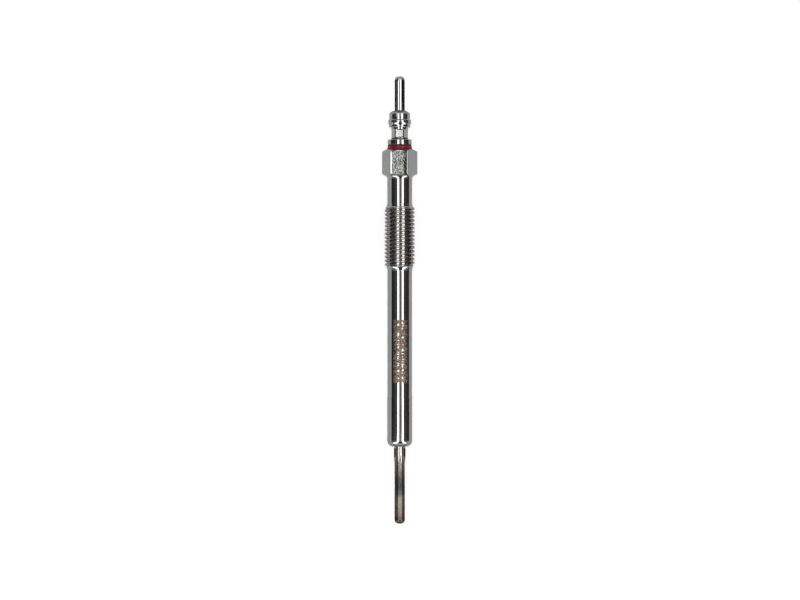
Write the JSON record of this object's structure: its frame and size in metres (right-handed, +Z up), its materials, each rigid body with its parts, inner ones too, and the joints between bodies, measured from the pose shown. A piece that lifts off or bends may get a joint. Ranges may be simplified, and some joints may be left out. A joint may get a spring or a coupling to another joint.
{
  "type": "diesel glow plug",
  "caption": "Sheathed diesel glow plug: slim closed heater tube, plated steel shell with thread and hex, red insulating bush and a round push-on terminal with a snap bead.",
  "frame": {"origin": "on the surface that the plug lies on, under the middle of its box", "axes": "+Y along the plug from the heater tip to the terminal, +Z up from the surface, a flat of the hex facing up"},
  "size_m": [0.0092, 0.116, 0.008],
  "materials": {
    "plated_steel": "bright nickel plate over turned steel",
    "terminal_plate": "bright nickel plate over turned steel",
    "heat_tinted_sheath": "drawn nickel alloy, dark and heat tinted towards the tip",
    "red_bush": "moulded red insulator, satin gloss",
    "bare_steel": "drawn steel rod",
    "resistance_wire": "oxidised resistance wire",
    "magnesia": "compacted magnesia powder, off white",
    "seal_rubber": "black heat-resistant rubber"
  },
  "bodies": {
    "root": {"heater_tube": "heat_tinted_sheath", "heating_coil": "resistance_wire", "control_coil": "resistance_wire", "powder_fill": "magnesia", "tube_gasket": "seal_rubber", "centre_rod": "bare_steel", "shell_body": "plated_steel", "o_ring_seal": "seal_rubber", "insulating_bush": "red_bush", "terminal_pin": "terminal_plate"}
  },
  "joints": []
}
